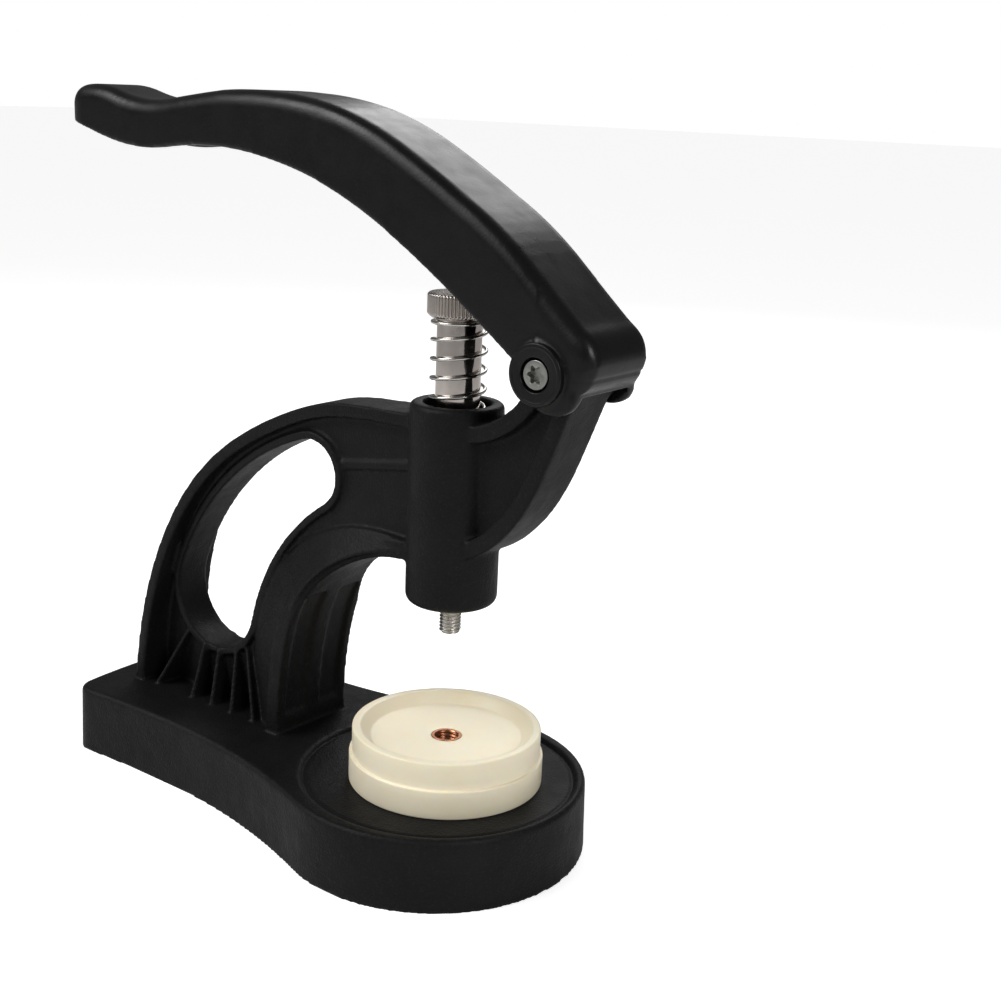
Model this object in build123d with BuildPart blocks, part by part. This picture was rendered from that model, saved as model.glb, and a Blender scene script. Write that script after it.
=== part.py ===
from build123d import *
import math
import os

os.makedirs("parts", exist_ok=True)

# Watch case press. +X points to the front (the pivot end), +Z is up, millimetres.
# The shapes are drawn with x = 0 on the plunger axis and z = 0 at the underside of
# the base. Each finished piece is then moved along X, so that the origin of the
# press lies under the middle of its length.

# ---- base ----
base_height = 20.6
base_draft = 1.5                    # degrees, the walls lean in towards the top
lobe_radius = 44.0                  # at the underside
lobe_x = -4.6
neck_half = 30.0                    # half width at the narrowest place
neck_x = -86.0
rear_x = -130.4
rear_side_x = -127.8
rear_half = 32.0
rear_corner = 7.0
base_edge = 1.5
base_wall = 4.0
base_roof = 5.0
stiffener_x = (-112, -84, -58, -32)
stiffener_half = 1.3
stiffener_start = 1.5

# ---- round recess that seats a die ----
recess_x = -2.5
recess_radius = 40.0
recess_depth = 0.7
recess_bevel = 1.6

# ---- C-shaped arm, points in side view (x, z) ----
arm_foot = 16.0
arm_back_points = ((-118.8, arm_foot), (-111.5, 63), (-87.0, 99.4), (-51.1, 119.3), (0, 124.2))
arm_back_end = (1, 0.03)            # directions in which the two curves reach the boss
throat_end = (1, 0.1)
throat_points = ((-53.0, arm_foot), (-50.4, 47), (-38.8, 71.8), (-22.0, 81.4), (0, 84.0))
web_half = 4.2
rim_thickness = 5.0                 # of the throat rim
back_rim_thickness = 3.9
rim_half = 7.0                      # half width of the rims beside the boss
foot_half = 14.5                    # half width of the rims where they meet the base
# rim tapers: first x, last x, height where the narrowing starts, height where it ends
rim_tapers = ((-135, -62, arm_foot, 112), (-62, 1, 58, 86))
lip_half = 6.0
lip_thickness = 2.4
window_low = (-89.6, 53.8, 16.9)    # centre x, centre z, radius of the low end
window_high = (-48.7, 100.4, 9.8)   # the same for the high end
window_back_radius = 88.5
window_front_radius = 68.9
# leg sections: share of the throat curve, half width in front, half width behind, depth
leg_sections = ((0.0, 14.5, 5.0, 23.0), (0.28, 14.5, 5.0, 21.0), (0.46, 14.2, 5.0, 18.0),
                (0.62, 12.3, 5.2, 12.5), (0.78, 9.2, 5.8, 7.5), (1.0, 6.6, 6.2, 5.6))
flute_inner = 3.0
flute_outer = 11.2
flute_depth = 0.8
flute_shares = (0.1, 0.2, 0.3, 0.4, 0.5)
strut_half = 5.2
strut_points = ((-40, 103.2), (0, 109.8), (0, 112.0), (-40, 105.4))
gussets = ((-102.0, -110.0), (-94.0, -93.0), (-88.0, -84.0), (-80.5, -75.0), (-76.0, -65.0))
gusset_top = 40.0
gusset_half = 0.7
gusset_start = 5.5                  # reach from the middle plane at the top and at the foot
gusset_reach = 13.5

# ---- boss and plunger bore ----
boss_radius = 12.65
boss_bottom = 72.4
boss_top = 128.0
boss_edge = 2.5
boss_top_edge = 0.8
shaft_radius = 6.0
shaft_tip_radius = 5.0
running_gap = 0.05
pocket_radius = 9.05
pocket_floor = 116.0
bush_radius = 8.0
bush_top = 84.0

# ---- horn and pivot ----
pivot_x = 35.8
pivot_z = 142.0
eye_radius = 9.4
eye_half = 10.0
horn_half = 8.0
horn_rim = 4.6
swoop_points = ((0, 86.0), (17.5, 91.9), (30.2, 106.5), (37.0, 121.1), (44.6, 139.0))
scoop_points = ((0, 124.6), (14.0, 125.0), (22.0, 129.4), (28.0, 136.0))
axle_radius = 4.0
axle_half = 11.95
washer_radius = 7.0
washer_thickness = 0.5
washer_start = 10.05                # distance of the washers from the middle plane

# ---- plunger ----
knob_top = 156.8
knob_radius = 8.7
knob_height = 6.4
knob_chamfer = 1.0
knob_top_chamfer = 0.4
knurl_count = 56
knurl_size = 0.42
stud_radius = 3.0
stud_length = 9.0                   # free thread of both studs
stud_grip = 14.0                    # length of the upper stud's shank inside the shaft
shank_radius = 2.5
stud_chamfer = 0.6
travel = 15.86                      # full stroke of the plunger
shaft_bottom = boss_bottom + 0.6
shaft_shoulder = bush_top + travel + 0.2
shaft_chamfer = 0.8
spigot_radius = 4.0                 # top of the shaft, inside the knob
spigot_height = 4.0
knob_bottom = knob_top - knob_height

# ---- return spring ----
wire_radius = 0.5
coil_radius = 7.2
coil_pitch = 5.1
end_turns = 0.8
end_rise = 0.9
coil_phase = 217.8                  # degrees, direction in which a coil passes coil_level
coil_level = 139.3
seat_top = pocket_floor + 1.0
seat_gap = 0.3
steps_per_turn = 12

# ---- die, a stepped disc with a cup in both faces ----
die_bottom = base_height - recess_depth
die_step = die_bottom + 8.2
die_top = die_bottom + 15.8
flange_radius = 27.3
cup_outer_radius = 26.5
cup_mouth_radius = 24.2
cup_floor_radius = 21.4
cup_depth = 3.2
under_mouth_radius = 25.0
under_floor_radius = 23.0
under_depth = 3.4
insert_radius = 4.2
die_edge = 0.6

# ---- bolt that carries the die ----
bolt_flats = 10.0
bolt_head = 4.0
bolt_washer_radius = 6.0
bolt_washer = 1.2
bolt_pocket_radius = 6.6
bolt_pocket_top = 10.4
bolt_boss_radius = 10.0

# ---- handle, points in side view (x, z) ----
handle_top_points = ((-150, 203.0), (-141, 205.2), (-115, 201.8), (-85.5, 204.6), (-54, 204.9),
                     (-20, 197.2), (23, 173.8), (45.5, 154.0))
handle_under_points = ((29.3, 142.9), (-9.4, 168.8), (-36.4, 181.6), (-66, 188.6), (-88, 189.7),
                       (-114, 187.9), (-139, 192.4), (-150, 196.0))
handle_nose = (-153, 199.3)
channel_shares = (0.08, 0.2, 0.35, 0.5, 0.65, 0.8, 0.9, 0.98)
channel_bottom = 125.0              # below the whole handle
handle_ceiling = 215.0              # above the whole handle
tail_rise = (1, 0.4)                # directions of the two curves at their ends
crest_fall = (1, -0.86)
under_start = (-0.81, 0.58)
front_x = 51.0
front_knee = (49.8, 149.8)
front_wall_top = 145.5
front_bottom = 139.6
lobe_centre = (39.5, 142.4)
cheek_lobe = 10.2
heel_angle = math.radians(-29)      # where the lobe ends towards the front wall
handle_half = 13.5
tip_half = 11.0
tip_x = -151.5
cheek_thickness = 2.9
handle_wall = 3.0
handle_edge = 1.0
front_corner = 6.0
disc_radius = 7.7
disc_face = 15.3                    # distance of the disc face from the middle plane
head_pocket_radius = 4.4
head_pocket_floor = 13.0
nose_radius = 4.0
nose_x = 4.0
nose_half = 3.0
nose_root = 182.8
nose_lean = 2.2                     # the root follows the slope of the crest
taper_x = -15.0
tip_start = -140.0

# ---- pivot screws ----
screw_head_radius = 3.65
screw_head_height = 2.0
screw_radius = 2.0
screw_length = 8.0
screw_tip = head_pocket_floor - screw_length
star_radius = 1.5
star_lobe = 0.5
star_depth = 1.1
star_points = 6

to_middle = Location((-(tip_x + front_x) / 2, 0, 0))

small = 0.02
overlap = 1.5                       # how far neighbouring shapes run into each other


def upright(radius, start, end):
    """A cylinder on the plunger axis between two heights."""
    with BuildPart() as rod:
        with BuildSketch(Plane.XY.offset(start)):
            Circle(radius)
        extrude(amount=end - start)
    return rod.part


def crosswise(radius, start, end, centre=(pivot_x, pivot_z)):
    """A cylinder along Y between two values of y, in either order, about a point in side view."""
    start, end = sorted((start, end))
    with BuildPart() as rod:
        with BuildSketch(Plane.XZ.offset(-end)):
            with Locations(centre):
                Circle(radius)
        extrude(amount=end - start)
    return rod.part


def side_plate(outline, start, end):
    """A side outline given thickness between two values of y."""
    with BuildPart() as plate:
        with BuildSketch(Plane.XZ.offset(-end)):
            add(outline)
        extrude(amount=end - start, dir=(0, -1, 0))
    return plate.part


def ring(radius, hole, start, end):
    """A collar on the plunger axis."""
    with BuildPart() as collar:
        with BuildSketch(Plane.XY.offset(start)):
            Circle(radius)
            Circle(hole, mode=Mode.SUBTRACT)
        extrude(amount=end - start)
    return collar.part


def at_reach(start, end, reach):
    """Point at the given reach from start, in the direction of end."""
    gap = math.dist(start, end)
    return tuple(s + (e - s) * reach / gap for s, e in zip(start, end))


def middle(a, b):
    return tuple((p + q) / 2 for p, q in zip(a, b))


def arc_centre(a, reach_a, b, reach_b):
    """Point that lies reach_a from a and reach_b from b, on the throat side."""
    gap = math.dist(a, b)
    along = (reach_a ** 2 - reach_b ** 2 + gap ** 2) / (2 * gap)
    aside = math.sqrt(reach_a ** 2 - along ** 2)
    ux = (b[0] - a[0]) / gap
    uz = (b[1] - a[1]) / gap
    return (a[0] + along * ux + aside * uz, a[1] + along * uz - aside * ux)


def window_outline(grow):
    """Bean-shaped outline of four touching arcs, grown outwards all round."""
    low = window_low[:2]
    high = window_high[:2]
    low_r = window_low[2] + grow
    high_r = window_high[2] + grow
    back_r = window_back_radius + grow
    front_r = window_front_radius - grow
    back = arc_centre(low, back_r - low_r, high, back_r - high_r)
    front = arc_centre(low, front_r + low_r, high, front_r + high_r)
    back_low = at_reach(back, low, back_r)
    back_high = at_reach(back, high, back_r)
    front_low = at_reach(low, front, low_r)
    front_high = at_reach(high, front, high_r)
    with BuildSketch() as outline:
        with BuildLine():
            ThreePointArc(back_low, at_reach(back, middle(back_low, back_high), back_r), back_high)
            ThreePointArc(back_high, at_reach(low, high, math.dist(low, high) + high_r), front_high)
            ThreePointArc(front_high, at_reach(front, middle(front_low, front_high), front_r), front_low)
            ThreePointArc(front_low, (low[0], low[1] - low_r), back_low)
        make_face()
    return outline.sketch


def shifted(curve, distance, steps=12):
    """A curve moved sideways, to the left of its own direction when distance is positive."""
    points = []
    for step in range(steps + 1):
        at = curve @ (step / steps)
        along = curve % (step / steps)
        points.append((at.X - along.Y * distance, at.Y + along.X * distance))
    return Spline(*points)


def arcs_along(curve, count):
    """A curve drawn again as short arcs."""
    with BuildLine() as path:
        for step in range(count):
            start, mid, end = (curve @ ((step + part) / count) for part in (0, 0.5, 1))
            ThreePointArc(start, mid, end)
    return path.line


def between(first, second):
    """The face between two curves that run the same way."""
    with BuildSketch() as band:
        with BuildLine():
            add(first)
            Line(first @ 1, second @ 1)
            add(second)
            Line(second @ 0, first @ 0)
        make_face()
    return band.sketch


def base_outline(inset=0.0):
    """Plan of the base, moved inwards all round: round lobe, concave neck, squarish rear."""
    reach = lobe_x - neck_x
    neck_radius = (reach ** 2 + neck_half ** 2 - lobe_radius ** 2) / (2 * (lobe_radius - neck_half))
    share = (neck_radius + inset) / (neck_radius + lobe_radius)
    touch_x = neck_x + reach * share
    touch_y = (neck_half + neck_radius) * (1 - share)
    waist = neck_half - inset
    corner_x = rear_side_x + inset
    corner_y = rear_half - inset
    with BuildSketch() as outline:
        with BuildLine():
            ThreePointArc((touch_x, -touch_y), (lobe_x + lobe_radius - inset, 0), (touch_x, touch_y))
            for side in (1, -1):
                TangentArc((neck_x, side * waist), (touch_x, side * touch_y), tangent=(1, 0))
                TangentArc((neck_x, side * waist), (corner_x, side * corner_y), tangent=(-1, 0))
            ThreePointArc((corner_x, corner_y), (rear_x + inset, 0), (corner_x, -corner_y))
        make_face()
        fillet([v for v in outline.vertices() if v.X < neck_x - 1], rear_corner - inset)
    return outline.sketch


def handle_side():
    """Side outline of the handle."""
    under = arcs_along(Spline(*handle_under_points, tangents=(under_start, (-tail_rise[0], tail_rise[1]))), 8)
    heel = (lobe_centre[0] + cheek_lobe * math.cos(heel_angle),
            lobe_centre[1] + cheek_lobe * math.sin(heel_angle))
    with BuildSketch() as outline:
        with BuildLine():
            add(crest)
            ThreePointArc(handle_top_points[-1], front_knee, (front_x, front_wall_top))
            Polyline((front_x, front_wall_top), (front_x, front_bottom), heel)
            ThreePointArc(heel, (lobe_centre[0], lobe_centre[1] - cheek_lobe), handle_under_points[0])
            add(under)
            ThreePointArc(handle_under_points[-1], handle_nose, handle_top_points[0])
        make_face()
    return outline.sketch


def handle_plan(inset=0.0):
    """Plan of the handle, moved inwards all round: parallel cheeks, tapering to a rounded tip."""
    front = front_x + 1 - inset
    with BuildSketch() as outline:
        with BuildLine():
            for side in (1, -1):
                Polyline((front, side * (handle_half - inset)), (taper_x, side * (handle_half - inset)),
                         (tip_start, side * (tip_half - inset)))
            ThreePointArc((tip_start, tip_half - inset), (tip_x + inset, 0), (tip_start, inset - tip_half))
            Line((front, inset - handle_half), (front, handle_half - inset))
        make_face()
        fillet([v for v in outline.vertices() if v.X > front - small], front_corner - inset)
    return outline.sketch


# ------------------------------------------------------------------ frame
arm_back = Spline(*arm_back_points, tangents=((0, 1), arm_back_end))
throat = Spline(*throat_points, tangents=((0, 1), throat_end))
swoop = Spline(*swoop_points)
scoop = Spline(*scoop_points)
fluted = Spline(*[throat @ share for share in flute_shares])
flute = between(shifted(fluted, -overlap), shifted(fluted, flute_depth))

with BuildPart() as base_block:
    with BuildSketch():
        add(base_outline())
    extrude(amount=base_height, taper=base_draft)
    fillet(base_block.faces().sort_by(Axis.Z)[-1].edges(), base_edge)
    # hollow underside with stiffeners and a boss around the bolt
    with BuildSketch():
        add(base_outline(base_wall))
        Circle(bolt_boss_radius, mode=Mode.SUBTRACT)
    extrude(amount=base_height - base_roof, mode=Mode.SUBTRACT)
    with BuildSketch(Plane.XY.offset(stiffener_start)):
        for x in stiffener_x:
            with Locations((x, 0)):
                Rectangle(2 * stiffener_half, 2 * lobe_radius)
        with Locations(((rear_side_x - bolt_boss_radius) / 2, 0)):
            Rectangle(-rear_side_x - bolt_boss_radius + overlap, 2 * stiffener_half)
        add(base_outline(base_wall - overlap), mode=Mode.INTERSECT)
    extrude(amount=base_height - base_roof - stiffener_start + overlap)
    # round recess with a bevelled wall
    for height, radius in ((base_height, recess_radius), (die_bottom, recess_radius - recess_bevel)):
        with BuildSketch(Plane.XY.offset(height)):
            with Locations((recess_x, 0)):
                Circle(radius)
    loft(mode=Mode.SUBTRACT)

# half width of the rims against height, seen along X
with BuildPart() as rim_limit:
    for start, end, straight, narrow in rim_tapers:
        with BuildSketch(Plane.YZ.offset(start)):
            Polygon((-foot_half, arm_foot), (foot_half, arm_foot), (foot_half, straight),
                    (rim_half, narrow), (rim_half, boss_top), (-rim_half, boss_top),
                    (-rim_half, narrow), (-foot_half, straight), align=None)
        extrude(amount=end - start)

with BuildPart() as arm_rims:
    add(side_plate(between(arm_back, shifted(arm_back, -back_rim_thickness)), -foot_half - 1, foot_half + 1))
    add(side_plate(between(throat, shifted(throat, rim_thickness)), -foot_half - 1, foot_half + 1))
    add(rim_limit.part, mode=Mode.INTERSECT)

# leg that widens towards the throat
with BuildPart() as leg:
    for share, front_half, back_half, depth in leg_sections:
        at = throat @ share
        along = throat % share
        section = Plane(origin=(at.X, 0, at.Y), x_dir=(-along.Y, 0, along.X), z_dir=(along.X, 0, along.Y))
        with BuildSketch(section):
            Polygon((overlap, -front_half), (overlap, front_half), (depth, back_half), (depth, -back_half),
                    align=None)
    loft()

# boss with a rounded lower edge
with BuildPart() as boss:
    add(upright(boss_radius, boss_bottom, boss_top))
    fillet(boss.edges().sort_by(Axis.Z)[0], boss_edge)
    chamfer(boss.edges().sort_by(Axis.Z)[-1], boss_top_edge)

with BuildPart() as frame_body:
    add(base_block.part)
    add(side_plate(between(shifted(arm_back, -overlap), shifted(throat, overlap)), -web_half, web_half))
    add(arm_rims.part)
    add(leg.part)
    add(side_plate(window_outline(lip_thickness), -lip_half, lip_half))
    with BuildSketch(Plane.XZ):
        Polygon(*strut_points, align=None)
    extrude(amount=strut_half, both=True)
    # gussets fanning out from the low end of the window
    for top_x, foot_x in gussets:
        run = math.dist((top_x, gusset_top), (foot_x, base_height - 1))
        down = ((foot_x - top_x) / run, 0, (base_height - 1 - gusset_top) / run)
        with BuildSketch(Plane(origin=(top_x, 0, gusset_top), x_dir=down, z_dir=(-down[2], 0, down[0]))):
            Polygon((0, gusset_start), (run, gusset_reach), (run, -gusset_reach), (0, -gusset_start),
                    align=None)
        extrude(amount=gusset_half, both=True)
    add(side_plate(window_outline(0), -2 * foot_half, 2 * foot_half), mode=Mode.SUBTRACT)
    # shallow flutes down the front of the leg, either side of a rib
    for start in (flute_inner, -flute_outer):
        add(side_plate(flute, start, start + flute_outer - flute_inner), mode=Mode.SUBTRACT)
    # horn in front of the boss, with the pivot eye
    add(side_plate(between(shifted(scoop, -overlap), shifted(swoop, overlap)), -web_half, web_half))
    add(side_plate(between(scoop, shifted(scoop, -horn_rim)), -horn_half, horn_half))
    add(side_plate(between(swoop, shifted(swoop, horn_rim)), -horn_half, horn_half))
    add(crosswise(eye_radius, -eye_half, eye_half))
    add(boss.part)
    # bores
    add(crosswise(axle_radius + running_gap, -eye_half, eye_half), mode=Mode.SUBTRACT)
    add(upright(bush_radius, boss_bottom, bush_top), mode=Mode.SUBTRACT)
    add(upright(shaft_radius + running_gap, bush_top, pocket_floor), mode=Mode.SUBTRACT)
    add(upright(pocket_radius, pocket_floor, boss_top), mode=Mode.SUBTRACT)
    add(upright(stud_radius, 0, die_bottom), mode=Mode.SUBTRACT)
    add(upright(bolt_pocket_radius, 0, bolt_pocket_top), mode=Mode.SUBTRACT)
frame_body.part.label = "frame_body"
frame_body.part.move(to_middle)
export_step(frame_body.part, "parts/frame_body.step")

# ------------------------------------------------------------------ fittings in the frame
with BuildPart() as base_stud:
    with BuildSketch(Plane.XY.offset(bolt_pocket_top - bolt_washer - bolt_head)):
        RegularPolygon(bolt_flats / 2, 6, major_radius=False)
    extrude(amount=bolt_head)
    add(upright(stud_radius, bolt_pocket_top - bolt_washer - 1, die_bottom + stud_length))
    chamfer(base_stud.edges().sort_by(Axis.Z)[-1], stud_chamfer)
base_stud.part.label = "base_stud"
base_stud.part.move(to_middle)
export_step(base_stud.part, "parts/base_stud.step")

with BuildPart() as bolt_collar:
    add(ring(bolt_washer_radius, stud_radius, bolt_pocket_top - bolt_washer, bolt_pocket_top))
bolt_collar.part.label = "bolt_washer"
bolt_collar.part.move(to_middle)
export_step(bolt_collar.part, "parts/bolt_washer.step")

with BuildPart() as guide_bush:
    add(ring(bush_radius, shaft_tip_radius + running_gap, boss_bottom, bush_top))
guide_bush.part.label = "guide_bush"
guide_bush.part.move(to_middle)
export_step(guide_bush.part, "parts/guide_bush.step")

with BuildPart() as spring_seat:
    add(ring(pocket_radius, shaft_radius + seat_gap, pocket_floor, seat_top))
spring_seat.part.label = "spring_seat"
spring_seat.part.move(to_middle)
export_step(spring_seat.part, "parts/spring_seat.step")

# ------------------------------------------------------------------ plunger
with BuildPart() as plunger_shaft:
    add(upright(shaft_tip_radius, shaft_bottom, shaft_shoulder))
    chamfer(plunger_shaft.edges().sort_by(Axis.Z)[0], shaft_chamfer)
    add(upright(shaft_radius, shaft_shoulder, knob_bottom))
    add(upright(spigot_radius, knob_bottom, knob_bottom + spigot_height))
    add(upright(shank_radius, shaft_bottom, shaft_bottom + stud_grip), mode=Mode.SUBTRACT)
plunger_shaft.part.label = "plunger_shaft"
plunger_shaft.part.move(to_middle)
export_step(plunger_shaft.part, "parts/plunger_shaft.step")

with BuildPart() as plunger_knob:
    add(upright(knob_radius, knob_bottom, knob_top))
    chamfer(plunger_knob.edges().sort_by(Axis.Z)[-1], knob_top_chamfer)
    chamfer(plunger_knob.edges().sort_by(Axis.Z)[0], knob_chamfer)
    with BuildSketch(Plane.XY.offset(knob_bottom)):
        with PolarLocations(knob_radius, knurl_count):
            Polygon((small, -knurl_size), (small, knurl_size), (-knurl_size, 0), align=None)
    extrude(amount=knob_height, mode=Mode.SUBTRACT)
    add(upright(spigot_radius, knob_bottom, knob_bottom + spigot_height), mode=Mode.SUBTRACT)
plunger_knob.part.label = "plunger_knob"
plunger_knob.part.move(to_middle)
export_step(plunger_knob.part, "parts/plunger_knob.step")

with BuildPart() as upper_stud:
    add(upright(stud_radius, shaft_bottom - stud_chamfer - stud_length, shaft_bottom))
    chamfer(upper_stud.edges().sort_by(Axis.Z)[0], stud_chamfer)
    add(upright(shank_radius, shaft_bottom, shaft_bottom + stud_grip))
upper_stud.part.label = "upper_stud"
upper_stud.part.move(to_middle)
export_step(upper_stud.part, "parts/upper_stud.step")

# right-handed wire with closed end turns
wire_start = seat_top + wire_radius
wire_rise = knob_bottom - seat_top - 2 * wire_radius
active_turns = (wire_rise - 2 * end_rise) / coil_pitch
all_turns = active_turns + 2 * end_turns


def wire_height(turn):
    """Height of the wire above its start after a number of turns."""
    if turn < end_turns:
        return turn * end_rise / end_turns
    if turn > all_turns - end_turns:
        return wire_rise - (all_turns - turn) * end_rise / end_turns
    return end_rise + (turn - end_turns) * coil_pitch


def wire_point(turn):
    angle = math.radians(spring_start + 360 * turn)
    return (coil_radius * math.cos(angle), coil_radius * math.sin(angle), wire_start + wire_height(turn))


level_turn = end_turns + (coil_level - wire_start - end_rise) / coil_pitch
spring_start = coil_phase - 360 * level_turn
spring_steps = math.ceil(all_turns * steps_per_turn)
with BuildPart() as return_spring:
    with BuildLine():
        wire_axis = Spline(*[wire_point(all_turns * step / spring_steps) for step in range(spring_steps + 1)])
    with BuildSketch(Plane(origin=wire_axis @ 0, z_dir=wire_axis % 0)):
        Circle(wire_radius)
    sweep()
return_spring.part.label = "return_spring"
return_spring.part.move(to_middle)
export_step(return_spring.part, "parts/return_spring.step")

# ------------------------------------------------------------------ die
with BuildPart() as die_body:
    with BuildSketch(Plane.XZ):
        Polygon((insert_radius, die_bottom + under_depth), (under_floor_radius, die_bottom + under_depth),
                (under_mouth_radius, die_bottom), (flange_radius, die_bottom), (flange_radius, die_step),
                (cup_outer_radius, die_step), (cup_outer_radius, die_top), (cup_mouth_radius, die_top),
                (cup_floor_radius, die_top - cup_depth), (insert_radius, die_top - cup_depth), align=None)
    revolve(axis=Axis.Z)
    outer = die_body.edges().filter_by(GeomType.CIRCLE)
    broken = [e for e in outer if e.radius > flange_radius - small or
              e.radius > cup_outer_radius - small and e.center().Z > die_step + small]
    chamfer(broken, die_edge)
die_body.part.label = "die_body"
die_body.part.move(to_middle)
export_step(die_body.part, "parts/die_body.step")

with BuildPart() as die_insert:
    add(ring(insert_radius, stud_radius + running_gap, die_bottom + under_depth, die_top - cup_depth))
die_insert.part.label = "die_insert"
die_insert.part.move(to_middle)
export_step(die_insert.part, "parts/die_insert.step")

# ------------------------------------------------------------------ handle
crest = arcs_along(Spline(*handle_top_points, tangents=(tail_rise, crest_fall)), 9)
ceiling = shifted(Spline(*[crest @ share for share in channel_shares]), -handle_wall)
with BuildPart() as channel:
    with BuildSketch(Plane.XZ.offset(-handle_half)):
        with BuildLine():
            add(ceiling)
            Polyline(ceiling @ 1, (front_x - handle_wall, (ceiling @ 1).Y - handle_wall),
                     (front_x - handle_wall, channel_bottom), ((ceiling @ 0).X, channel_bottom), ceiling @ 0)
        make_face()
    extrude(amount=2 * handle_half, dir=(0, -1, 0))
    with BuildSketch(Plane.XY.offset(channel_bottom)):
        add(handle_plan(cheek_thickness))
    extrude(amount=handle_ceiling - channel_bottom, mode=Mode.INTERSECT)

with BuildPart() as handle:
    add(side_plate(handle_side(), -handle_half - 1, handle_half + 1))
    with BuildSketch(Plane.XY.offset(channel_bottom)):
        add(handle_plan())
    extrude(amount=handle_ceiling - channel_bottom, mode=Mode.INTERSECT)
    along_crest = [e for e in handle.edges()
                   if crest.distance_to(Vertex((e @ 0.5).X, (e @ 0.5).Z, 0)) < small and abs((e @ 0.5).Y) > 1]
    fillet(along_crest, handle_edge)
    add(channel.part, mode=Mode.SUBTRACT)
    # nose that presses on the knob
    nose_z = knob_top + small + nose_radius
    add(crosswise(nose_radius, -nose_half, nose_half, (nose_x, nose_z)))
    with BuildSketch(Plane.XZ):
        Polygon((nose_x - nose_radius, nose_z), (nose_x + nose_radius, nose_z),
                (nose_x + nose_radius, nose_root - nose_lean), (nose_x - nose_radius, nose_root + nose_lean),
                align=None)
    extrude(amount=nose_half, both=True)
    # discs round the pivot, with pockets for the screw heads
    for side in (1, -1):
        inner = side * (handle_half - cheek_thickness)
        face = side * disc_face
        add(crosswise(disc_radius, inner, face))
        add(crosswise(axle_radius + running_gap, inner, side * axle_half), mode=Mode.SUBTRACT)
        add(crosswise(screw_radius + running_gap, inner, face), mode=Mode.SUBTRACT)
        add(crosswise(head_pocket_radius, side * head_pocket_floor, face), mode=Mode.SUBTRACT)
handle.part.label = "handle"
handle.part.move(to_middle)
export_step(handle.part, "parts/handle.step")

# ------------------------------------------------------------------ pivot
with BuildPart() as pivot_axle:
    add(crosswise(axle_radius, -axle_half, axle_half))
    for side in (1, -1):
        add(crosswise(screw_radius, side * screw_tip, side * axle_half), mode=Mode.SUBTRACT)
pivot_axle.part.label = "pivot_axle"
pivot_axle.part.move(to_middle)
export_step(pivot_axle.part, "parts/pivot_axle.step")

with BuildPart() as pivot_washers:
    for start in (washer_start, -washer_start - washer_thickness):
        add(crosswise(washer_radius, start, start + washer_thickness))
        add(crosswise(axle_radius + running_gap, start, start + washer_thickness), mode=Mode.SUBTRACT)
pivot_washers.part.label = "pivot_washers"
pivot_washers.part.move(to_middle)
export_step(pivot_washers.part, "parts/pivot_washers.step")

with BuildPart() as pivot_screws:
    for side in (1, -1):
        floor = side * head_pocket_floor
        face = side * (head_pocket_floor + screw_head_height)
        recess = side * (head_pocket_floor + screw_head_height - star_depth)
        add(crosswise(screw_radius, side * screw_tip, floor))
        add(crosswise(screw_head_radius, floor, face))
        add(crosswise(star_radius, recess, face), mode=Mode.SUBTRACT)
        for lobe in range(star_points):
            angle = 2 * math.pi * lobe / star_points
            centre = (pivot_x + star_radius * math.cos(angle), pivot_z + star_radius * math.sin(angle))
            add(crosswise(star_lobe, recess, face, centre), mode=Mode.SUBTRACT)
pivot_screws.part.label = "pivot_screws"
pivot_screws.part.move(to_middle)
export_step(pivot_screws.part, "parts/pivot_screws.step")
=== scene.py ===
import math

import bmesh
import bpy
import numpy as np
from mathutils import Matrix, Vector


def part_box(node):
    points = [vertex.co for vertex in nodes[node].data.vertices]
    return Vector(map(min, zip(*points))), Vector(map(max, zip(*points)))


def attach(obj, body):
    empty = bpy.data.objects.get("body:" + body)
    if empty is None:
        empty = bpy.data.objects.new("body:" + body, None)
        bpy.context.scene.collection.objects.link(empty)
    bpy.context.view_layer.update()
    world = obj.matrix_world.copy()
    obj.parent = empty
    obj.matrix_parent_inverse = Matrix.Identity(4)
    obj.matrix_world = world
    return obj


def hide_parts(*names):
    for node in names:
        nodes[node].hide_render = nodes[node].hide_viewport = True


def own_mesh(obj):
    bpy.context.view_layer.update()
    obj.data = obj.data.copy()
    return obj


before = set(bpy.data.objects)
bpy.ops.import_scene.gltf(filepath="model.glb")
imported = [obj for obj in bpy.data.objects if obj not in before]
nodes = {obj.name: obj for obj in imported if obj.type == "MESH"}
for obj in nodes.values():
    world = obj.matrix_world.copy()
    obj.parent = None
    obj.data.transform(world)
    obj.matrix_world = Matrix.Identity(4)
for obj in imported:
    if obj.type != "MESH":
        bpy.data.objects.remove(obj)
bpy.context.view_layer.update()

MM = 0.001
shaft_low, shaft_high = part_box("plunger_shaft")
AXIS = Vector(((shaft_low[0] + shaft_high[0]) / 2, 0, 0))   # foot of the plunger axis
# Every length below is in millimetres, and places count from that foot.

# ---- camera and light ----
VIEW_AZIMUTH = 37.82                # degrees round from the -Y side
VIEW_ELEVATION = 15.46
VIEW_ROLL = 2.18
VIEW_DISTANCE = 401.32
VIEW_ASIDE = 7.36                   # aim point to the right of the plunger axis
VIEW_HEIGHT = 99.78
LENS = 53.55
SHIFT_X = 0.01917
SHIFT_Y = 0.0048
SENSOR_WIDTH = 36.0
FLOOR_REACH = 9000.0                # half the floor's width
WORLD_STRENGTH = 0.14
FLOOR_LIFT = 0.6                    # glow of the floor that only the camera sees
SUN_STRENGTH = 1.2
SUN_PLACE = (-450, -620, 600)
SUN_ANGLE = math.radians(50)        # wide, for soft shadows
SOFTBOX_AIM = (0, 0, 90)
# name, position, width, watts
SOFTBOXES = (("key", (-450, -450, 700), 350, 2.3), ("side", (600, -150, 450), 300, 2.2),
             ("rear", (-330, 680, 640), 460, 2.1))

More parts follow.
